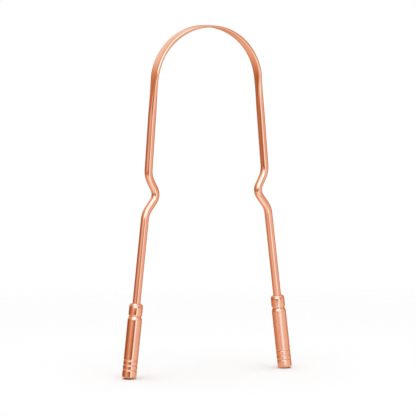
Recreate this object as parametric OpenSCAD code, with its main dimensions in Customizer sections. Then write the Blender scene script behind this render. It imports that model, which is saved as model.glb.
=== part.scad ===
// Tongue scraper: one copper wire, pressed flat over the arch and kinked once in each leg,
// with a turned copper handle rolled onto each end. Lengths are in millimetres and angles in degrees.
// The loop is set upright on its two handles in the XZ plane, and the floor under them is z = 0.

/* [Loop] */
// Overall height when it stands on its handles
overall_h = 150; // [140:0.5:165]
// Radius of the arch, to the middle of the band
arch_r = 24.5; // [22:0.1:27]
// Outward lean of the legs between the arch and the kinks, in degrees
leg_lean = 4.5; // [3:0.1:6]
// Outward lean of the legs and handles below the kinks, in degrees
grip_lean = 6.6; // [5:0.1:8]
// Distance from the middle of the loop to the centre of a handle's end
foot_x = 37.1; // [35:0.1:39]

/* [Wire] */
// Diameter of the round wire
wire_d = 3.4; // [2.8:0.1:3.8]
// Thickness of the flattened band down both sides of the arch
flat_t = 1.5; // [1.2:0.05:2]
// Thickness of the band at the crown
crown_t = 0.95; // [0.7:0.05:1.15]
// Section left at the crown, where pressing has drawn the metal out, as a share of the wire's
crown_area_share = 0.74; // [0.65:0.01:1]
// Length along the wire from the crown over which the crown's extra thinning fades out
crown_len = 16; // [10:0.5:20]
// Length along the wire from the crown at which the flat band starts to turn round
flat_len = 32; // [26:0.5:36]
// Length along the wire from the crown at which it is round again
round_len = 52; // [46:0.5:56]

/* [Kinks] */
// Height at which the two slopes of a kink meet
kink_h = 78; // [74:0.1:82]
// Distance from the middle of the loop to that meeting point
kink_x = 23.4; // [22:0.1:24.5]
// Height of the kink's upper slope
kink_rise = 8.2; // [7.6:0.1:9]
// Height of the kink's lower slope
kink_drop = 7.6; // [7:0.1:8.5]
// Bend radius at the top of a kink, to the middle of the wire
upper_bend_r = 10; // [6:0.1:11]
// Bend radius at the inward point of a kink
inner_bend_r = 5; // [4:0.1:6]
// Bend radius at the bottom of a kink
lower_bend_r = 9; // [6:0.1:10]

/* [Handle] */
// Length of a handle
handle_len = 32.1; // [28:0.1:38]
// Diameter of the handle's body
body_d = 6.15; // [5.6:0.05:7]
// Diameter of the head above the neck
head_d = 5.9; // [5.4:0.05:6.4]
// Diameter at the bottom of the rolled neck
neck_d = 5.2; // [4.9:0.05:5.35]
// Length from the middle of the neck to the top of the head
head_len = 5.6; // [4.6:0.1:7]
// Width of the head's rounded shoulder
shoulder_w = 0.95; // [0.6:0.05:1.1]
// Height of the head's rounded shoulder
shoulder_h = 1.8; // [1:0.1:2.2]
// Radius under the head, where it curves in to the neck
under_r = 1.1; // [0.8:0.1:1.4]
// Length of the plain bottom of the neck
neck_w = 0.3; // [0.2:0.05:0.5]
// Length of the slope from the neck out to the body
neck_slope_h = 1; // [0.6:0.05:1.4]
// Radius round the edge of the handle's end
end_r = 0.7; // [0.3:0.1:1.2]

/* [Grip grooves] */
// Number of fine grooves near the handle's end
groove_count = 3; // [1:1:5]
// Height of the lowest groove above the handle's end
groove_first = 3.6; // [2:0.1:5]
// Distance from one groove to the next
groove_pitch = 2.05; // [1.2:0.05:2.6]
// Width of a groove at the surface
groove_w = 0.7; // [0.4:0.05:1]
// Depth of a groove
groove_depth = 0.15; // [0.1:0.05:0.3]

/* [Socket] */
// Depth of the wire's socket below the top of the handle
socket_depth = 14; // [10:0.5:18]
// Clearance between the wire and the socket's wall
socket_gap = 0.03; // [0.02:0.01:0.06]
// How far the rolled neck presses into the wire
crimp_depth = 0.25; // [0.1:0.05:0.4]
// Width of that ring at the wire's surface
crimp_w = 1.2; // [0.8:0.1:1.6]
// Chamfer on the wire's end
wire_chamfer = 0.3; // [0.1:0.05:0.6]

/* [Hidden] */

$fn = 96;
copper = "#d98b6c";
handle_copper = "#dd9070";
overrun = 1;
// The formed stretch lies this far inside the straight round ends, where the two overlap
seam = 0.01;
seam_lap = 1;

// Rings along the formed stretch, and points round each ring
crown_steps = 20;
taper_steps = 8;
upper_steps = 6;
inner_steps = 9;
lower_steps = 6;
ring_points = 24;
round_steps = 8;

// Blend from 0 to 1 that starts and ends level
function eased(u) = let(v = min(1, max(0, u))) v * v * (3 - 2 * v);
function mixed(a, b, u) = a + (b - a) * u;

// Handle frame: its origin is the centre of the handle's end and its +Z runs up towards the wire.
// The rounded inner rim of the end touches the floor.
foot = [foot_x, (body_d / 2 - end_r) * sin(grip_lean) + end_r * (1 - cos(grip_lean))];
module at_foot(side) {
    translate([side * foot.x, 0, foot.y]) rotate([0, -side * grip_lean, 0]) children();
}

// Corners of the right half of the loop, each as x and z, where straight stretches would meet
arch_z = overall_h - crown_t / 2 - arch_r;
leg_top = [arch_r * cos(leg_lean), arch_z + arch_r * sin(leg_lean)];
upper_corner_z = kink_h + kink_rise;
upper_corner = [leg_top.x + (leg_top.y - upper_corner_z) * tan(leg_lean), upper_corner_z];
inner_corner = [kink_x, kink_h];
lower_corner_z = kink_h - kink_drop;
lower_corner = [foot.x - (lower_corner_z - foot.y) * tan(grip_lean), lower_corner_z];

// Outward lean of the way down from one point to the next, and the length between them
function lean_of(from, to) = atan2(to.x - from.x, from.y - to.y);
function span(from, to) = norm(to - from);
function heading(lean) = [sin(lean), -cos(lean)];
function outward(lean) = [cos(lean), sin(lean)];
in_lean = lean_of(upper_corner, inner_corner);
out_lean = lean_of(inner_corner, lower_corner);

// Length that a bend takes from the straight stretches beside it
function setback(r, from_lean, to_lean) = r * tan(abs(from_lean - to_lean) / 2);
upper_set = setback(upper_bend_r, leg_lean, in_lean);
inner_set = setback(inner_bend_r, in_lean, out_lean);
lower_set = setback(lower_bend_r, out_lean, grip_lean);

// A station is its point, its lean and its length along the wire from the crown
function arc_length(r, turn) = r * abs(turn) * PI / 180;
function turned(start, r, to_lean) =
    let(side = sign(start[1] - to_lean))
    [start[0] + side * r * (outward(to_lean) - outward(start[1])), to_lean,
     start[2] + arc_length(r, start[1] - to_lean)];
function moved(start, length) = [start[0] + length * heading(start[1]), start[1], start[2] + length];
function bend_stations(start, r, to_lean, steps) =
    [for (i = [1 : steps]) turned(start, r, mixed(start[1], to_lean, i / steps))];
function last(list) = list[len(list) - 1];

// The band runs level over the crown
crown_lean = 90;
crown = [[0, arch_z + arch_r], crown_lean, 0];
arch_stations = bend_stations(crown, arch_r, leg_lean, crown_steps);
arch_end = last(arch_stations);
taper_stations =
    [for (i = [1 : taper_steps]) moved(arch_end, (round_len - arch_end[2]) * i / taper_steps)];
upper_start = moved(arch_end, span(leg_top, upper_corner) - upper_set);
upper_stations = bend_stations(upper_start, upper_bend_r, in_lean, upper_steps);
inner_start = moved(last(upper_stations), span(upper_corner, inner_corner) - upper_set - inner_set);
inner_stations = bend_stations(inner_start, inner_bend_r, out_lean, inner_steps);
lower_start = moved(last(inner_stations), span(inner_corner, lower_corner) - inner_set - lower_set);
lower_stations = bend_stations(lower_start, lower_bend_r, grip_lean, lower_steps);
lap_end = moved(last(lower_stations), seam_lap);
half_stations = concat(
    arch_stations, taper_stations, [upper_start], upper_stations,
    [inner_start], inner_stations, [lower_start], lower_stations, [lap_end]
);

// Thickness of the band at a length along the wire, and its width, which keeps the metal's volume
formed_d = wire_d - 2 * seam;
function thickness(s) =
    s < flat_len
        ? mixed(crown_t, flat_t, eased(s / crown_len))
        : mixed(flat_t, formed_d, eased((s - flat_len) / (round_len - flat_len)));
function section_area(s) =
    PI / 4 * formed_d * formed_d * mixed(crown_area_share, 1, eased(s / crown_len));
function width(s) = let(t = thickness(s)) t + section_area(s) / t - PI / 4 * t;

// Ring of points round one station: two rounded edges joined by two flats
function ring(station, side) =
    let(s = station[2], t = thickness(s), flat = width(s) - t, out = outward(station[1]))
    [for (k = [0 : ring_points - 1])
        let(a = 360 * (k + 0.5) / ring_points, n = t / 2 * cos(a))
        [side * (station[0].x + n * out.x),
         t / 2 * sin(a) + sign(sin(a)) * flat / 2,
         station[0].y + n * out.y]];

module formed_stretch() {
    count = len(half_stations);
    rings = concat(
        [for (i = [count - 1 : -1 : 0]) ring(half_stations[i], -1)],
        [ring(crown, 1)],
        [for (i = [0 : count - 1]) ring(half_stations[i], 1)]
    );
    n = ring_points;
    walls = [for (i = [0 : len(rings) - 2], k = [0 : n - 1], half = [0, 1])
        let(a = i * n + k, b = i * n + (k + 1) % n)
        half == 0 ? [a, b, b + n] : [a, b + n, a + n]];
    first_cap = [for (k = [n - 1 : -1 : 0]) k];
    last_cap = [for (k = [0 : n - 1]) (len(rings) - 1) * n + k];
    polyhedron(points = [for (r = rings, p = r) p], faces = concat(walls, [first_cap, last_cap]));
}

// Places along the handle, from its end
neck_z = handle_len - head_len;
socket_floor = handle_len - socket_depth;
lower_bend_end = span(lower_corner, foot) - lower_set;

// Half outline of the ring that the rolled neck presses into the wire, out to the radius given
function crimp_outline(r) = [
    [r, neck_z - crimp_w / 2], [wire_d / 2 - crimp_depth, neck_z], [r, neck_z + crimp_w / 2]
];

// Straight round end of the wire, which stands in the handle's socket
module wire_end() {
    difference() {
        rotate_extrude() polygon([
            [0, socket_floor], [wire_d / 2 - wire_chamfer, socket_floor],
            [wire_d / 2, socket_floor + wire_chamfer], [wire_d / 2, lower_bend_end], [0, lower_bend_end]
        ]);
        rotate_extrude() polygon(concat(
            crimp_outline(wire_d / 2),
            [[wire_d / 2 + overrun, neck_z + crimp_w / 2], [wire_d / 2 + overrun, neck_z - crimp_w / 2]]
        ));
    }
}

module scraper_band() {
    color(copper) {
        formed_stretch();
        for (side = [-1, 1]) at_foot(side) wire_end();
    }
}

// Points of a rounded corner on an outline, which reaches a width and a height from its centre
function rounded(centre, reach, from, to) =
    [for (i = [0 : round_steps])
        let(way = outward(mixed(from, to, i / round_steps)))
        [centre.x + reach.x * way.x, centre.y + reach.y * way.y]];

function groove_outline(z) = [
    [body_d / 2, z - groove_w / 2], [body_d / 2 - groove_depth, z], [body_d / 2, z + groove_w / 2]
];

// Outer outline from the middle of the end up to the top of the head
under_turn = acos(1 - (head_d - neck_d) / 2 / under_r);
under_h = under_r * sin(under_turn);
neck_bottom = neck_z - neck_w / 2;
neck_top = neck_z + neck_w / 2;
outer_outline = concat(
    [[0, 0]],
    rounded([body_d / 2 - end_r, end_r], [end_r, end_r], -90, 0),
    [for (i = [0 : groove_count - 1]) each groove_outline(groove_first + i * groove_pitch)],
    [[body_d / 2, neck_bottom - neck_slope_h], [neck_d / 2, neck_bottom]],
    rounded([head_d / 2 - under_r, neck_top + under_h], [under_r, under_r], -under_turn, 0),
    rounded([head_d / 2 - shoulder_w, handle_len - shoulder_h], [shoulder_w, shoulder_h], 0, 90)
);

// Socket outline from its mouth down to its floor, with the ring that holds the wire
socket_r = wire_d / 2 + socket_gap;
crimp_share = (crimp_depth - socket_gap) / crimp_depth;
socket_outline = [
    [socket_r, handle_len],
    [socket_r, neck_z + crimp_w / 2 * crimp_share],
    [wire_d / 2 - crimp_depth + 2 * socket_gap, neck_z],
    [socket_r, neck_z - crimp_w / 2 * crimp_share],
    [socket_r, socket_floor],
    [0, socket_floor]
];

module handle() {
    rotate_extrude() polygon(concat(outer_outline, socket_outline));
}

module left_handle() {
    color(handle_copper) at_foot(-1) handle();
}

module right_handle() {
    color(handle_copper) at_foot(1) handle();
}

scraper_band();
left_handle();
right_handle();
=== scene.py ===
"""Tongue scraper: one copper wire, pressed flat over its arch and kinked in each leg, with a
turned copper handle on each end. The loop is upright in the XZ plane, with the crown on top."""

from math import acos, atan2, cos, pi, radians, sin, tan, tau

import bmesh
import bpy
from bpy.props import FloatProperty, FloatVectorProperty, IntProperty, PointerProperty
from bpy.types import Operator, Panel, PropertyGroup
from mathutils import Matrix, Vector


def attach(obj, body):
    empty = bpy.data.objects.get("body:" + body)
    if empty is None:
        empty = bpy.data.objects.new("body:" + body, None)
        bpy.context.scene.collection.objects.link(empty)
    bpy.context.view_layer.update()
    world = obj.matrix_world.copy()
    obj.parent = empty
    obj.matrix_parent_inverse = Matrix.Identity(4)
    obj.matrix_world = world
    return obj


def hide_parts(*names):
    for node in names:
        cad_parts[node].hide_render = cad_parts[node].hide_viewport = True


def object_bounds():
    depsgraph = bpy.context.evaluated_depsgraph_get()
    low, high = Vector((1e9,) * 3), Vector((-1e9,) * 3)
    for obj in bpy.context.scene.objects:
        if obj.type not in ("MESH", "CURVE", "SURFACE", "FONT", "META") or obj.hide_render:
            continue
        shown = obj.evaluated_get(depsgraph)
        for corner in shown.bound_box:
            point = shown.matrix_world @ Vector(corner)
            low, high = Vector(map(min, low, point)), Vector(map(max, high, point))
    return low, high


bl_info = {
    "name": "Tongue scraper",
    "version": (1, 0, 0),
    "blender": (4, 5, 0),
    "location": "3D View > Sidebar > Tongue scraper",
    "description": "Models a copper tongue scraper and the studio it stands in",
    "category": "Add Mesh",
}

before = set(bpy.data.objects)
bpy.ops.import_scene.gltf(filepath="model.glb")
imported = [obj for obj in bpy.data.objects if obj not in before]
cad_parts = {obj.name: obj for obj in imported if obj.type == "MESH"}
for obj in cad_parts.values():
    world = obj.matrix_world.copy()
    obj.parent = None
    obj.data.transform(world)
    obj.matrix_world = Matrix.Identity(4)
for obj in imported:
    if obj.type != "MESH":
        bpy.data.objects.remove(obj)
cad_low, cad_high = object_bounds()

MM = 0.001
# Vertices closer than this are one vertex
WELD = 0.002 * MM
# Faces that meet at less than this are shaded as one smooth surface
SMOOTH_ANGLE = radians(35)

# Rings that each stretch or bend of the wire is drawn in
ARCH_RINGS = 72
TAPER_RINGS = 16
LEG_RINGS = 8
BEND_RINGS = 12
INNER_BEND_RINGS = 20
SLOPE_RINGS = 3
GRIP_RINGS = 12
SOCKET_RINGS = 3

# Small bevels of the handle's outline: how far each reaches from its corner, and its steps
GROOVE_EDGE = (0.07 * MM, 2)
SLOPE_EDGE = (0.12 * MM, 3)
MOUTH_EDGE = (0.06 * MM, 2)
# Steps that draw the handle's larger rounds
END_STEPS = 8
UNDER_STEPS = 8
SHOULDER_STEPS = 12
# Rings this close beside each edge keep the shading of the plain walls straight
BESIDE = 0.15 * MM

# Depth of the fine lines in the polish
LINE_DEPTH = 0.02 * MM
# Shares of soft clouds and of the lines in how the copper's colour varies
CLOUD_SHARE = 0.35
LINE_SHARE = 0.65
# Colour of the copper's reflections at a grazing angle
GRAZING_TINT = (1.0, 0.85, 0.74, 1.0)


def length(name, description, millimetres, low=0.01, high=300.0):
    """A length, whose default and limits are given in millimetres"""
    return FloatProperty(
        name=name, description=description, default=millimetres * MM, min=low * MM, max=high * MM,
        unit="LENGTH", subtype="DISTANCE", precision=5,
    )


def angle(name, description, degrees):
    """An angle, whose default is given in degrees"""
    return FloatProperty(
        name=name, description=description, default=radians(degrees), unit="ROTATION", subtype="ANGLE"
    )


def share(name, description, value):
    """A share from 0 to 1"""
    return FloatProperty(
        name=name, description=description, default=value, min=0.0, max=1.0, subtype="FACTOR"
    )


def colour(name, description, value):
    """A colour in linear values of red, green and blue"""
    return FloatVectorProperty(
        name=name, description=description, default=value, size=3, min=0.0, max=1.0, subtype="COLOR"
    )


class LoopSizes(PropertyGroup):
    """The loop's course"""

    height: length("Height", "Overall height", (cad_high.z - cad_low.z) / MM)
    arch_radius: length("Arch radius", "Radius of the arch, to the middle of the band", 24.5)
    leg_lean: angle("Leg lean", "Outward lean of the legs above the kinks", 4.5)
    grip_lean: angle("Grip lean", "Outward lean of the legs and handles below the kinks", 6.6)
    foot: length("Foot distance", "From the middle of the loop to the centre of a handle's end", 37.1)
    kink_height: length("Kink height", "Height at which the two slopes of a kink meet", 78)
    kink_reach: length("Kink distance", "From the middle of the loop to that meeting point", 23.4)
    kink_rise: length("Kink rise", "Height of the kink's upper slope", 8.2)
    kink_drop: length("Kink drop", "Height of the kink's lower slope", 7.6)
    upper_radius: length("Upper bend", "Bend radius at the top of a kink", 10)
    inner_radius: length("Inner bend", "Bend radius at the inward point of a kink", 5)
    lower_radius: length("Lower bend", "Bend radius at the bottom of a kink", 9)


class WireSizes(PropertyGroup):
    """The wire's section"""

    diameter: length("Diameter", "Diameter of the round wire", 3.4)
    flat: length("Flat thickness", "Thickness of the band down the sides of the arch", 1.5)
    crown: length("Crown thickness", "Thickness of the band at the crown", 0.95)
    crown_metal: share("Crown section", "Section left at the crown, as a share of the wire's", 0.74)
    crown_length: length("Crown length", "From the crown to where its extra thinning ends", 16)
    flat_length: length("Flat length", "From the crown to where the flat band starts to turn round", 32)
    round_length: length("Round length", "From the crown to where the wire is round again", 52)
    sides: IntProperty(name="Sides", description="Vertices round the wire", default=48, min=12, max=96)
    chamfer: length("End chamfer", "Chamfer on the wire's hidden end", 0.3)
    ring_depth: length("Ring depth", "How far the rolled neck presses into the wire", 0.25)
    ring_width: length("Ring width", "Width of that pressed ring", 1.2)


class HandleSizes(PropertyGroup):
    """The turned handles"""

    length: length("Length", "Length of a handle", 32.1)
    body: length("Body diameter", "Diameter of the body", 6.15)
    head: length("Head diameter", "Diameter of the head above the neck", 5.9)
    neck: length("Neck diameter", "Diameter at the bottom of the rolled neck", 5.2)
    head_length: length("Head length", "From the middle of the neck to the top", 5.6)
    shoulder_width: length("Shoulder width", "Width of the head's rounded shoulder", 0.95)
    shoulder_height: length("Shoulder height", "Height of the head's rounded shoulder", 1.8)
    under: length("Underside radius", "Radius under the head, in to the neck", 1.1)
    neck_width: length("Neck width", "Length of the plain bottom of the neck", 0.3)
    neck_slope: length("Neck slope", "Length of the slope from the neck out to the body", 1)
    end: length("End radius", "Radius round the edge of the handle's end", 0.7)
    grooves: IntProperty(name="Grooves", description="Fine grooves near the end", default=3, min=1, max=5)
    first_groove: length("First groove", "Height of the lowest groove above the end", 3.6)
    groove_pitch: length("Groove pitch", "Distance from one groove to the next", 2.05)
    groove_width: length("Groove width", "Width of a groove at the surface", 0.7)
    groove_depth: length("Groove depth", "Depth of a groove", 0.15)
    socket: length("Socket depth", "Depth of the wire's socket below the top", 14)
    gap: length("Socket gap", "Clearance between the wire and the socket's wall", 0.03)
    steps: IntProperty(name="Steps", description="Steps round the handle", default=96, min=24, max=160)


class CopperLook(PropertyGroup):
    """Colours and finish of the copper"""

    bright: colour("Bright copper", "Freshly polished copper", (0.885, 0.43, 0.27))
    warm: colour("Warm copper", "Slightly darker, redder places", (0.79, 0.33, 0.19))
    # Dull, dark copper: random dull marks on the wire, and painted shade in the handle's grooves
    tarnish_and_shade: colour("Tarnish", "Dull copper in grooves and corners", (0.34, 0.11, 0.05))
    polish: share("Roughness", "Roughness of the polished metal", 0.04)


class Studio(PropertyGroup):
    """Floor, light and camera"""

    floor: colour("Floor", "Pale floor", (0.96, 0.96, 0.96))
    around: share("Light all round", "Brightness of the plain light from all round", 0.3)
    floor_radius: length("Floor radius", "Radius of the floor", 400, high=5000)
    azimuth: angle("Camera azimuth", "Camera's place round the loop, from straight in front", -25)
    elevation: angle("Camera elevation", "Camera's height above the horizon", 5.294)
    roll: angle("Camera roll", "Camera's turn about its own axis", -0.227)
    distance: length("Camera distance", "From the camera to the point it looks at", 1306.1, high=5000)
    aim_height: length("Aim height", "Height of the point that the camera looks at", 71.545)
    aim_side: length("Aim side", "Sideways place of the point that the camera looks at", 0.372)
    lens: FloatProperty(name="Lens", description="Focal length", default=263.25, unit="CAMERA")


class Look:
    """Builds the nodes of one material or world"""

    def __init__(self, owner):
        owner.use_nodes = True
        self.tree = owner.node_tree
        self.tree.nodes.clear()

    def node(self, kind, settings=None, sockets=None):
        """Adds a node: its settings first, then the values or links of its sockets"""
        node = self.tree.nodes.new("ShaderNode" + kind)
        for key, value in (settings or {}).items():
            if key == "stops":
                ramp = node.color_ramp.elements
                while len(ramp) < len(value):
                    ramp.new(0.5)
                for stop, (place, tint) in zip(ramp, value):
                    stop.position, stop.color = place, tint
            else:
                setattr(node, key, value)
        for key, value in (sockets or {}).items():
            target = node.inputs[key]
            if isinstance(value, Value):
                self.tree.links.new(value.socket, target)
            elif hasattr(value, "__len__") and len(value) == 3 and target.type == "RGBA":
                target.default_value = (*value, 1.0)
            else:
                target.default_value = value
        return node

    def out(self, kind, settings=None, sockets=None, socket=0):
        """Adds a node and returns one of its outputs"""
        return Value(self, self.node(kind, settings, sockets).outputs[socket])

    def maths(self, operation, first, second=0.0):
        """Works out a number from one or two numbers"""
        return self.out("Math", {"operation": operation}, {0: first, 1: second})

    def vector(self, operation, first, second=(0.0, 0.0, 0.0), socket="Vector"):
        """Works out a vector, or its socket's number, from one or two vectors"""
        return self.out("VectorMath", {"operation": operation}, {0: first, 1: second}, socket)

    def noise(self, place, detail, roughness=0.5, scale=1.0, stretch=None):
        """Noise over a place, drawn out into lines by a stretch of three factors"""
        if stretch:
            place = self.vector("MULTIPLY", place, stretch)
        sockets = {"Vector": place, "Scale": scale, "Detail": detail, "Roughness": roughness}
        return self.out("TexNoise", None, sockets)

    def mix(self, factor, first, second):
        """Mixes two colours"""
        return self.out("Mix", {"data_type": "RGBA"}, {0: factor, 6: first, 7: second}, socket=2)

    def smooth(self, value, low, high):
        """Goes smoothly from 0 to 1 as the value goes from low to high"""
        return self.out(
            "MapRange", {"interpolation_type": "SMOOTHSTEP"},
            {"Value": value, "From Min": low, "From Max": high, "To Min": 0.0, "To Max": 1.0},
        )


class Value:
    """A node's output that takes part in sums"""

    def __init__(self, look, socket):
        self.look, self.socket = look, socket

    def __add__(self, other):
        return self.look.maths("ADD", self, other)

    __radd__ = __add__

    def __sub__(self, other):
        return self.look.maths("SUBTRACT", self, other)

    def __rsub__(self, other):
        return self.look.maths("SUBTRACT", other, self)

    def __mul__(self, other):
        return self.look.maths("MULTIPLY", self, other)

    __rmul__ = __mul__


def deselect():
    """Leaves edit mode and deselects every object"""
    if bpy.context.object and bpy.context.object.mode != "OBJECT":
        bpy.ops.object.mode_set(mode="OBJECT")
    bpy.ops.object.select_all(action="DESELECT")


def start_piece(name):
    """Names the new primitive, applies its place and opens it in edit mode"""
    piece = bpy.context.object
    piece.name = piece.data.name = name
    bpy.ops.object.transform_apply(location=True, rotation=True, scale=True)
    bpy.ops.object.mode_set(mode="EDIT")
    bpy.ops.mesh.select_mode(type="VERT")
    bpy.ops.mesh.select_all(action="SELECT")
    return piece


def select(piece, test):
    """Selects the vertices whose place passes the test, and returns their number"""
    mesh = bmesh.from_edit_mesh(piece.data)
    for vertex in mesh.verts:
        vertex.select = False
    mesh.select_flush(False)
    found = [vertex for vertex in mesh.verts if test(vertex.co)]
    for vertex in found:
        vertex.select = True
    mesh.select_flush(True)
    bmesh.update_edit_mesh(piece.data)
    return len(found)


def close_up(piece):
    """Welds what meets and turns all faces outwards"""
    bpy.ops.mesh.select_all(action="SELECT")
    bpy.ops.mesh.remove_doubles(threshold=WELD)
    bpy.ops.mesh.normals_make_consistent(inside=False)
    bpy.ops.object.mode_set(mode="OBJECT")


def heading(lean):
    """Direction of the wire on its way down, by its outward lean"""
    return Vector((sin(lean), 0, -cos(lean)))


def outward(lean):
    """Direction out of the loop, square to the wire, by the wire's lean"""
    return Vector((cos(lean), 0, sin(lean)))


def lean_of(start, end):
    """Outward lean of a straight stretch on its way down"""
    return atan2(end.x - start.x, start.z - end.z)


def setback(radius, lean, next_lean):
    """Length that a bend takes from the straight stretches beside it"""
    return radius * tan(abs(lean - next_lean) / 2)


class Station:
    """A place along the wire: its point, lean, length from the crown and the radius of its ring"""

    def __init__(self, point, lean, along, radius):
        self.point, self.lean, self.along, self.radius = point, lean, along, radius

    def holds(self, place):
        """Whether a vertex lies in this station's ring, with a little room for rounding"""
        arm = place - self.point
        return abs(arm.dot(heading(self.lean))) < WELD / 4 and arm.length < self.radius * 1.02 + WELD

    def level_with(self, place):
        """Whether a place lies in the plane of this station's ring"""
        return abs((place - self.point).dot(heading(self.lean))) < WELD


class WireRun:
    """Draws one half of the wire, ring by ring, from the crown down to its end"""

    def __init__(self, crown, radius, sides):
        deselect()
        bpy.ops.mesh.primitive_circle_add(
            vertices=sides, radius=radius, fill_type="NOTHING", location=crown, rotation=(0, pi / 2, 0)
        )
        self.piece = start_piece("scraper_band_formed")
        # No vertex lies at the middle of the band's width, so the ring parts cleanly in two
        bpy.ops.transform.rotate(value=pi / sides, orient_axis="X", center_override=crown)
        self.stations = [Station(crown, pi / 2, 0.0, radius)]

    def straight(self, distance, steps, radius=None):
        """Extrudes the last ring along the wire, and changes its radius where one is given"""
        for _ in range(steps):
            last = self.stations[-1]
            move = heading(last.lean) * (distance / steps)
            bpy.ops.mesh.extrude_region_move(TRANSFORM_OT_translate={"value": move})
            along = last.along + distance / steps
            new = Station(last.point + move, last.lean, along, radius or last.radius)
            if radius and radius != last.radius:
                ratio = radius / last.radius
                bpy.ops.transform.resize(value=(ratio, ratio, ratio), center_override=new.point)
            self.stations.append(new)

    def bend(self, radius, lean, steps):
        """Spins the last ring about the centre of a bend"""
        last = self.stations[-1]
        side = 1 if last.lean > lean else -1
        centre = last.point - side * radius * outward(last.lean)
        bpy.ops.mesh.spin(steps=steps, angle=lean - last.lean, center=centre, axis=(0, 1, 0))
        for step in range(1, steps + 1):
            here = last.lean + (lean - last.lean) * step / steps
            along = last.along + radius * abs(here - last.lean)
            self.stations.append(Station(centre + side * radius * outward(here), here, along, last.radius))


def eased(value):
    """Goes from 0 to 1 with a soft start and a soft end"""
    value = min(1.0, max(0.0, value))
    return value * value * (3 - 2 * value)


def pressed_section(wire, along):
    """Thickness of the pressed band at a length from the crown, and the width of its two flats"""
    if along < wire.flat_length:
        thick = wire.crown + (wire.flat - wire.crown) * eased(along / wire.crown_length)
    else:
        share_round = eased((along - wire.flat_length) / (wire.round_length - wire.flat_length))
        thick = wire.flat + (wire.diameter - wire.flat) * share_round
    metal = wire.crown_metal + (1 - wire.crown_metal) * eased(along / wire.crown_length)
    area = pi / 4 * wire.diameter**2 * metal
    return thick, area / thick - pi / 4 * thick


def foot_height(loop, handle):
    """Height of the centre of a leaning handle's end, whose rounded rim touches the floor"""
    lean = loop.grip_lean
    return (handle.body / 2 - handle.end) * sin(lean) + handle.end * (1 - cos(lean))


def draw_half_wire(loop, wire, handle):
    """Draws the wire round, from the crown to its end in the right handle"""
    arch_height = loop.height - wire.crown / 2 - loop.arch_radius
    foot = Vector((loop.foot, 0, foot_height(loop, handle)))
    leg_top = Vector((
        loop.arch_radius * cos(loop.leg_lean), 0, arch_height + loop.arch_radius * sin(loop.leg_lean)
    ))
    upper_height = loop.kink_height + loop.kink_rise
    upper = Vector((leg_top.x + (leg_top.z - upper_height) * tan(loop.leg_lean), 0, upper_height))
    inner = Vector((loop.kink_reach, 0, loop.kink_height))
    lower_height = loop.kink_height - loop.kink_drop
    lower = Vector((foot.x - (lower_height - foot.z) * tan(loop.grip_lean), 0, lower_height))
    lean_in, lean_out = lean_of(upper, inner), lean_of(inner, lower)
    upper_set = setback(loop.upper_radius, loop.leg_lean, lean_in)
    inner_set = setback(loop.inner_radius, lean_in, lean_out)
    lower_set = setback(loop.lower_radius, lean_out, loop.grip_lean)

    run = WireRun(Vector((0, 0, arch_height + loop.arch_radius)), wire.diameter / 2, wire.sides)
    run.bend(loop.arch_radius, loop.leg_lean, ARCH_RINGS)
    taper = wire.round_length - run.stations[-1].along
    run.straight(taper, TAPER_RINGS)
    run.straight((upper - leg_top).length - upper_set - taper, LEG_RINGS)
    run.bend(loop.upper_radius, lean_in, BEND_RINGS)
    run.straight((inner - upper).length - upper_set - inner_set, SLOPE_RINGS)
    run.bend(loop.inner_radius, lean_out, INNER_BEND_RINGS)
    run.straight((lower - inner).length - inner_set - lower_set, SLOPE_RINGS)
    run.bend(loop.lower_radius, loop.grip_lean, BEND_RINGS)

    # Heights up the handle's axis, from its end: the wire goes down to the socket's floor
    full = wire.diameter / 2
    height = (lower - foot).length - lower_set
    neck = handle.length - handle.head_length
    floor = handle.length - handle.socket
    for level, radius, rings in (
        (neck + wire.ring_width / 2, full, GRIP_RINGS),
        (neck, full - wire.ring_depth, 1),
        (neck - wire.ring_width / 2, full, 1),
        (floor + wire.chamfer, full, SOCKET_RINGS),
        (floor, full - wire.chamfer, 1),
    ):
        run.straight(height - level, rings, radius)
        height = level
    bpy.ops.mesh.extrude_region_move()
    bpy.ops.mesh.merge(type="CENTER")
    return run


def press_flat(run, wire):
    """Presses the round wire to its band over the arch: two rounded edges joined by two flats"""
    for station in run.stations:
        if station.along > wire.round_length - WELD:
            break
        thick, flats = pressed_section(wire, station.along)
        ratio = thick / wire.diameter
        if not select(run.piece, station.holds):
            raise RuntimeError("a ring of the wire wasn't found")
        bpy.ops.transform.resize(value=(ratio, ratio, ratio), center_override=station.point)
        station.radius *= ratio
        for side in (1, -1):
            select(run.piece, lambda place: place.y * side > 0 and station.holds(place))
            bpy.ops.transform.translate(value=(0, side * flats / 2, 0))
        station.radius += flats / 2


def mark_wire(piece, run):
    """Keeps each vertex's place round and along the wire, for the drawing lines"""
    mesh = bmesh.new()
    mesh.from_mesh(piece.data)
    layer = mesh.verts.layers.float_vector.new("drawn")
    for vertex in mesh.verts:
        side = -1 if vertex.co.x < 0 else 1
        place = Vector((abs(vertex.co.x), vertex.co.y, vertex.co.z))
        level = [station for station in run.stations if station.level_with(place)]
        station = min(level, key=lambda near: (near.point - place).length_squared)
        out_arm = (place - station.point).dot(outward(station.lean))
        turn = atan2(vertex.co.y, out_arm)
        vertex[layer] = (cos(turn), sin(turn), side * station.along / MM)
    mesh.to_mesh(piece.data)
    mesh.free()


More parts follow.
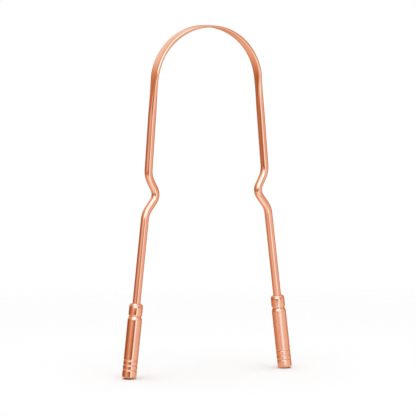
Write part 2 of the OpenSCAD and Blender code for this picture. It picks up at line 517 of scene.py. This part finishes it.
def lathe(name, outline, rounds, steps):
    """Draws an outline of radii and heights, rounds its corners and spins it about the Z axis"""
    deselect()
    radius, height = outline[0]
    bpy.ops.mesh.primitive_plane_add(size=MM, location=(radius, 0, height))
    piece = start_piece(name)
    bpy.ops.mesh.merge(type="CENTER")
    for (radius, height), (next_radius, next_height) in zip(outline, outline[1:]):
        step = (next_radius - radius, 0, next_height - height)
        bpy.ops.mesh.extrude_region_move(TRANSFORM_OT_translate={"value": step})
    for (radius, height), reach, segments in rounds:
        corner = Vector((radius, 0, height))
        if select(piece, lambda place: (place - corner).length < WELD) != 1:
            raise RuntimeError(f"{name}: a corner of the outline wasn't found")
        bpy.ops.mesh.bevel(offset=reach, offset_type="OFFSET", segments=segments, affect="VERTICES")
    bpy.ops.mesh.select_all(action="SELECT")
    bpy.ops.mesh.spin(steps=steps, angle=tau, center=(0, 0, 0), axis=(0, 0, 1))
    close_up(piece)
    return piece


def draw_handle(wire, handle):
    """Turns one handle, upright at the origin, with its blind socket"""
    body, head, neck = handle.body / 2, handle.head / 2, handle.neck / 2
    neck_height = handle.length - handle.head_length
    bottom, top = neck_height - handle.neck_width / 2, neck_height + handle.neck_width / 2
    socket = wire.diameter / 2 + handle.gap
    ring = wire.ring_width / 2 * (wire.ring_depth - handle.gap) / wire.ring_depth
    floor = handle.length - handle.socket
    outline = [(0, 0), (body, 0), (body, handle.end + BESIDE)]
    rounds = [((body, 0), handle.end, END_STEPS)]
    for index in range(handle.grooves):
        level = handle.first_groove + index * handle.groove_pitch
        half = handle.groove_width / 2
        outline += [
            (body, level - half - BESIDE), (body, level - half), (body - handle.groove_depth, level),
            (body, level + half), (body, level + half + BESIDE),
        ]
        rounds += [((body, level - half), *GROOVE_EDGE), ((body, level + half), *GROOVE_EDGE)]
    slope_foot = (body, bottom - handle.neck_slope)
    outline.append((body, slope_foot[1] - 2 * BESIDE))
    turn = acos(1 - (head - neck) / handle.under)
    under = [
        (head - handle.under + handle.under * cos(turn * step / UNDER_STEPS),
         top + handle.under * (sin(turn) - sin(turn * step / UNDER_STEPS)))
        for step in range(UNDER_STEPS, -1, -1)
    ]
    shoulder = [
        (head + handle.shoulder_width * (cos(pi / 2 * step / SHOULDER_STEPS) - 1),
         handle.length + handle.shoulder_height * (sin(pi / 2 * step / SHOULDER_STEPS) - 1))
        for step in range(SHOULDER_STEPS + 1)
    ]
    outline += [slope_foot, (neck, bottom)] + under + shoulder
    outline += [
        (socket, handle.length), (socket, neck_height + ring),
        (wire.diameter / 2 - wire.ring_depth + 2 * handle.gap, neck_height),
        (socket, neck_height - ring), (socket, floor), (0, floor),
    ]
    rounds += [(slope_foot, *SLOPE_EDGE), ((socket, handle.length), *MOUTH_EDGE)]
    return lathe("handle", outline, rounds, handle.steps)


def mark_turning(piece):
    """Keeps each vertex's place in the handle's own frame, for the turning lines"""
    mesh = bmesh.new()
    mesh.from_mesh(piece.data)
    layer = mesh.verts.layers.float_vector.new("turned")
    for vertex in mesh.verts:
        vertex[layer] = vertex.co / MM
    mesh.to_mesh(piece.data)
    mesh.free()


def copper_surface(look, colours, warmth, tarnish_and_shade, roughness, bump):
    """Finishes a copper material from its own pattern of lines"""
    cloud = look.noise(look.out("TexCoord", socket="Object"), detail=3.0, scale=60.0)
    warmth = CLOUD_SHARE * look.smooth(cloud, 0.3, 0.7) + LINE_SHARE * warmth
    base = look.mix(warmth, colours.bright, colours.warm)
    # Mixes in the dull, dark copper: random dull marks on the wire, and painted shade in the handle's
    # grooves
    base = look.mix(tarnish_and_shade, base, colours.tarnish_and_shade)
    shader = look.out(
        "BsdfPrincipled", None,
        {
            "Metallic": 1.0, "Base Color": base, "Roughness": roughness + 0.04 * cloud, "Normal": bump,
            "Specular Tint": GRAZING_TINT,
        },
    )
    look.node("OutputMaterial", None, {"Surface": shader})


def drawn_copper(colours):
    """Polished copper wire, with fine lines along it from the drawing die"""
    material = bpy.data.materials.new("polished_copper_wire")
    look = Look(material)
    # Each stretch is small along the wire, so that the noise becomes long lines
    drawn = look.out("Attribute", {"attribute_name": "drawn"}, socket="Vector")
    lines = look.noise(drawn, detail=2.0, stretch=(9.0, 9.0, 0.05))
    scratches = look.noise(drawn, detail=1.0, stretch=(30.0, 30.0, 0.16))
    streaks = look.noise(drawn, detail=2.0, roughness=0.6, stretch=(3.5, 3.5, 0.02))
    height = 0.8 * lines + 0.2 * scratches
    bump = look.out("Bump", None, {"Strength": 0.1, "Distance": LINE_DEPTH, "Height": height})
    tarnish_and_shade = look.smooth(scratches, 0.62, 0.8) * 0.12
    warmth = look.smooth(streaks, 0.35, 0.65)
    roughness = colours.polish + 0.1 * (lines - 0.5)
    copper_surface(look, colours, warmth, tarnish_and_shade, roughness, bump)
    return material


def turned_copper(colours, handle):
    """Polished turned copper, with fine lines round it and painted shade in its grooves, in a dull, dark
    copper colour
    """
    material = bpy.data.materials.new("turned_copper")
    look = Look(material)
    # The stretch is large along the handle, so that the noise becomes lines round it
    turned = look.out("Attribute", {"attribute_name": "turned"}, socket="Vector")
    lines = look.noise(turned, detail=2.0, stretch=(0.25, 0.25, 8.0))
    bump = look.out("Bump", None, {"Strength": 0.08, "Distance": LINE_DEPTH, "Height": lines})
    # The attribute is in millimetres: painted shade, in a dull, dark copper colour, lies just under the
    # body's wall, from the end's edge to above the grooves
    reach = look.vector("LENGTH", look.vector("MULTIPLY", turned, (1.0, 1.0, 0.0)), socket="Value")
    wall = handle.body / 2 / MM
    groove = 1 - look.smooth(reach, wall - handle.groove_depth / MM, wall - 0.03)
    height = look.out("SeparateXYZ", None, {0: turned}, socket="Z")
    above_end = look.smooth(height, 1.5, 2.0)
    below_middle = 1 - look.smooth(height, 10.0, 11.0)
    # Painted shade: the grooves are darkened where shade falls in them
    tarnish_and_shade = groove * below_middle * above_end * 0.3
    warmth = look.smooth(lines, 0.2, 0.8)
    roughness = colours.polish + 0.08 * (lines - 0.5)
    copper_surface(look, colours, warmth, tarnish_and_shade, roughness, bump)
    return material


class ScraperOperator:
    """What all the operators share"""

    bl_options = {"REGISTER", "UNDO"}

    @classmethod
    def poll(cls, context):
        return context.scene is not None


class ADD_OT_scraper_band(ScraperOperator, Operator):
    """Models the copper wire, pressed flat over the arch"""

    bl_idname = "tongue_scraper.band"
    bl_label = "Scraper band"

    def execute(self, context):
        scene = context.scene
        wire = scene.scraper_wire
        run = draw_half_wire(scene.scraper_loop, wire, scene.scraper_handle)
        press_flat(run, wire)
        piece = run.piece
        bpy.ops.object.mode_set(mode="OBJECT")
        mirror = piece.modifiers.new("other_half", "MIRROR")
        mirror.merge_threshold = WELD
        bpy.ops.object.modifier_apply(modifier=mirror.name)
        bpy.ops.object.mode_set(mode="EDIT")
        close_up(piece)
        mark_wire(piece, run)
        bpy.ops.object.shade_smooth_by_angle(angle=SMOOTH_ANGLE)
        piece.data.materials.append(drawn_copper(scene.scraper_copper))
        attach(piece, "root")
        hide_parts("scraper_band")
        return {"FINISHED"}


class ADD_OT_scraper_handles(ScraperOperator, Operator):
    """Models the turned handle and places a copy on each end of the wire"""

    bl_idname = "tongue_scraper.handles"
    bl_label = "Handles"

    def execute(self, context):
        scene = context.scene
        loop, handle = scene.scraper_loop, scene.scraper_handle
        right = draw_handle(scene.scraper_wire, handle)
        mark_turning(right)
        bpy.ops.object.shade_smooth_by_angle(angle=SMOOTH_ANGLE)
        right.data.materials.append(turned_copper(scene.scraper_copper, handle))
        left = right.copy()
        left.data = right.data.copy()
        context.collection.objects.link(left)
        for piece, name, side in ((right, "right_handle", 1), (left, "left_handle", -1)):
            piece.name = piece.data.name = name + "_turned"
            piece.rotation_euler = (0, -side * loop.grip_lean, 0)
            piece.location = (side * loop.foot, 0, foot_height(loop, handle))
            deselect()
            piece.select_set(True)
            context.view_layer.objects.active = piece
            bpy.ops.object.transform_apply(location=True, rotation=True, scale=True)
            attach(piece, "root")
            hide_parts(name)
        return {"FINISHED"}


def towards(azimuth, elevation):
    """Direction from the loop, by its turn round it from straight in front and its rise"""
    return Vector((sin(azimuth) * cos(elevation), -cos(azimuth) * cos(elevation), sin(elevation)))


def add_softbox(name, azimuth, elevation, distance, width, height, brightness):
    """Adds an area lamp that faces the middle of the loop, by the brightness of its face"""
    direction = towards(radians(azimuth), radians(elevation))
    place = Vector((0, 0, 75 * MM)) + direction * distance
    turn = (-direction).to_track_quat("-Z", "Y").to_euler()
    bpy.ops.object.light_add(type="AREA", location=place, rotation=turn)
    lamp = bpy.context.object
    lamp.name = lamp.data.name = name
    lamp.data.shape = "RECTANGLE"
    lamp.data.size, lamp.data.size_y = width, height
    lamp.data.energy = brightness * pi * width * height
    lamp.visible_camera = False
    return lamp


# The studio round the loop, as the metal sees it. Each panel has its place, in degrees round the loop
# from the camera and above the horizon, then its reach to each side and up, and its brightness.
# A dark screen takes brightness away. These fade out softly:
SOFT_PANELS = {
    "dark_room": (-50, 11, 135, 21, -1.0),
    "left_window": (-50, 8, 50, 21, 0.8),
    "right_window": (72, 9, 40, 25, 0.45),
    "front_ceiling": (5, 26, 50, 15, 0.55),
    "ceiling": (-25, 85, 40, 55, 0.4),
    "bright_floor": (20, -40, 42, 24, 0.25),
    "left_floor": (-35, -25, 16, 40, 0.05),
    "table_edge": (-35, -9, 50, 3.5, -0.2),
    "left_back_window": (-135, 14, 60, 16, 0.65),
    "left_back_screen": (-155, 0, 16, 18, -0.25),
    "back_wall": (-175, 15, 40, 55, 0.25),
    "right_back_screen": (165, 0, 25, 60, -0.3),
}
# These have an even face that ends more sharply:
EVEN_PANELS = {
    "high_box": (6, 10, 23, 11, 0.6),
    "right_box": (26, 2, 14, 11, 0.4),
    "low_box": (8, -13, 19, 8, 0.35),
    "left_box": (-28, 11, 19, 9, 0.35),
    "low_right_box": (40, -7, 19, 8, 0.15),
    "box_stand": (-2, -14, 2.5, 12, -0.4),
    "back_strip": (168, 10, 10, 35, 0.35),
}
# Brightness of the studio between its panels
ROOM_LEVEL = 0.365
# Colour of the light at each brightness: warm where it is dim, cool in the brightest panels
PANEL_TONES = (
    (0.05, (0.0, 0.0, 0.0)),
    (0.12, (0.2, 0.05, 0.0)),
    (0.23, (0.6, 0.35, 0.2)),
    (0.35, (0.8, 0.6, 0.45)),
    (0.58, (1.2, 1.55, 1.9)),
    (0.8, (1.2, 3.1, 4.8)),
)
# The world's strength, by which the ramp's colours are divided, as a ramp ends at 1
PANEL_STRENGTH = 5.5


def light_surroundings(world, studio):
    """Plain white for the camera, plain pale light all round, and soft panels in the metal"""
    look = Look(world)
    camera = look.out("LightPath", socket="Is Camera Ray")
    glossy = look.out("LightPath", socket="Is Glossy Ray")
    through = look.out("LightPath", socket="Is Transmission Ray")
    direction = look.out("TexCoord", socket="Generated")

    def part(axis):
        """How far the direction goes along an axis"""
        return look.vector("DOT_PRODUCT", direction, axis, socket="Value")

    right = part(towards(studio.azimuth + pi / 2, 0))
    front = part(towards(studio.azimuth, 0))
    side = look.maths("ARCTAN2", right, front)
    rise = look.maths("ARCSINE", part((0, 0, 1)))
    # Turns shrink with the height, so that panels overhead have no seam
    shrink = look.maths("COSINE", rise)
    level = ROOM_LEVEL
    for panels, even in ((SOFT_PANELS, False), (EVEN_PANELS, True)):
        for across, height, reach, spread, strength in panels.values():
            turn = look.out("Math", {"operation": "WRAP"}, {0: side - radians(across), 1: pi, 2: -pi})
            aside = turn * shrink * (1 / radians(reach))
            above = (rise - radians(height)) * (1 / radians(spread))
            aside, above = aside * aside, above * above
            if even:
                aside, above = aside * aside, above * above
            inside = look.maths("EXPONENT", (aside + above) * -1.0)
            level = level + inside * strength
    stops = [
        (place, (red / PANEL_STRENGTH, green / PANEL_STRENGTH, blue / PANEL_STRENGTH, 1.0))
        for place, (red, green, blue) in PANEL_TONES
    ]
    tones = look.out("ValToRGB", {"stops": stops}, {0: level})
    panels = look.out("Background", None, {"Color": tones, "Strength": PANEL_STRENGTH})
    plain = look.out("Background", None, {"Color": (1.0, 1.0, 1.0), "Strength": studio.around})
    white = look.out("Background", None, {"Color": (1.0, 1.0, 1.0), "Strength": 1.0})
    lit = look.out("MixShader", None, {0: glossy, 1: plain, 2: panels})
    surface = look.out("MixShader", None, {0: camera + through, 1: lit, 2: white})
    look.node("OutputWorld", None, {"Surface": surface})


def floor_surface(studio, loop):
    """Pale floor that takes the shadows and fades out into the white all round it"""
    material = bpy.data.materials.new("floor")
    look = Look(material)
    glossy = look.out("LightPath", socket="Is Glossy Ray")
    place = look.out("TexCoord", socket="Object")
    reach = look.vector("LENGTH", place, socket="Value")
    fade_start, fade_end = 0.3 * studio.floor_radius, 0.9 * studio.floor_radius
    edge = look.smooth(reach, fade_start, fade_end)
    # The metal sees the panels below it, and the floor only close to the handles' ends
    either_side = look.vector("ABSOLUTE", place)
    from_end = look.vector("DISTANCE", either_side, (loop.foot, 0, 0), socket="Value")
    far = look.smooth(from_end, 5 * MM, 14 * MM)
    gone = look.maths("MAXIMUM", edge, glossy * far)
    plain = look.out("BsdfDiffuse", None, {"Color": tuple(studio.floor)})
    clear = look.out("BsdfTransparent", None, {"Color": (1.0, 1.0, 1.0)})
    surface = look.out("MixShader", None, {0: gone, 1: plain, 2: clear})
    look.node("OutputMaterial", None, {"Surface": surface})
    return material


class ADD_OT_scraper_studio(ScraperOperator, Operator):
    """Makes the floor, the surroundings, the lamp and the camera"""

    bl_idname = "tongue_scraper.studio"
    bl_label = "Studio"

    def execute(self, context):
        scene, studio = context.scene, context.scene.scraper_studio
        deselect()
        bpy.ops.mesh.primitive_circle_add(vertices=96, radius=studio.floor_radius, fill_type="NGON")
        floor = bpy.context.object
        floor.name = floor.data.name = "floor"
        floor.data.materials.append(floor_surface(studio, scene.scraper_loop))

        scene.world = bpy.data.worlds.new("studio")
        light_surroundings(scene.world, studio)
        lamp = add_softbox(
            "top_softbox", azimuth=-25, elevation=88, distance=1.2, width=1.1, height=1.1, brightness=3.95
        )
        # The metal sees the panels of the studio instead
        lamp.visible_glossy = False

        bpy.ops.object.camera_add()
        camera = bpy.context.object
        camera.name = camera.data.name = "camera"
        back = towards(studio.azimuth, studio.elevation)
        camera.location = Vector((studio.aim_side, 0, studio.aim_height)) + back * studio.distance
        upright = (-back).to_track_quat("-Z", "Y").to_matrix()
        camera.rotation_euler = (upright @ Matrix.Rotation(studio.roll, 3, "Z")).to_euler()
        camera.data.lens = studio.lens
        camera.data.sensor_width = 36
        camera.data.clip_start = 0.01
        camera.data.clip_end = 20
        scene.camera = camera
        scene.view_settings.view_transform = "Standard"
        return {"FINISHED"}


class VIEW3D_PT_tongue_scraper(Panel):
    """Lists the sizes and pieces of the tongue scraper"""

    bl_label = "Tongue scraper"
    bl_space_type = "VIEW_3D"
    bl_region_type = "UI"
    bl_category = "Tongue scraper"

    def draw(self, context):
        for name, (title, kind) in GROUPS.items():
            box = self.layout.box()
            box.label(text=title)
            for key in kind.__annotations__:
                box.prop(getattr(context.scene, name), key)
        for operator in OPERATORS:
            self.layout.operator(operator.bl_idname)


# The scene's name for each group of values, its title in the sidebar and its class
GROUPS = {
    "scraper_loop": ("Loop", LoopSizes),
    "scraper_wire": ("Wire", WireSizes),
    "scraper_handle": ("Handles", HandleSizes),
    "scraper_copper": ("Copper", CopperLook),
    "scraper_studio": ("Studio", Studio),
}
OPERATORS = (ADD_OT_scraper_band, ADD_OT_scraper_handles, ADD_OT_scraper_studio)


def register():
    """Makes the groups of values, the operators and the sidebar known to Blender"""
    for name, (_, kind) in GROUPS.items():
        bpy.utils.register_class(kind)
        setattr(bpy.types.Scene, name, PointerProperty(type=kind))
    for kind in (*OPERATORS, VIEW3D_PT_tongue_scraper):
        bpy.utils.register_class(kind)


def unregister():
    """Takes them out again"""
    for kind in (VIEW3D_PT_tongue_scraper, *reversed(OPERATORS)):
        bpy.utils.unregister_class(kind)
    for name, (_, kind) in GROUPS.items():
        delattr(bpy.types.Scene, name)
        bpy.utils.unregister_class(kind)


def main():
    """Models every piece and the studio"""
    register()
    bpy.ops.tongue_scraper.band()
    bpy.ops.tongue_scraper.handles()
    bpy.ops.tongue_scraper.studio()


if __name__ == "__main__":
    main()
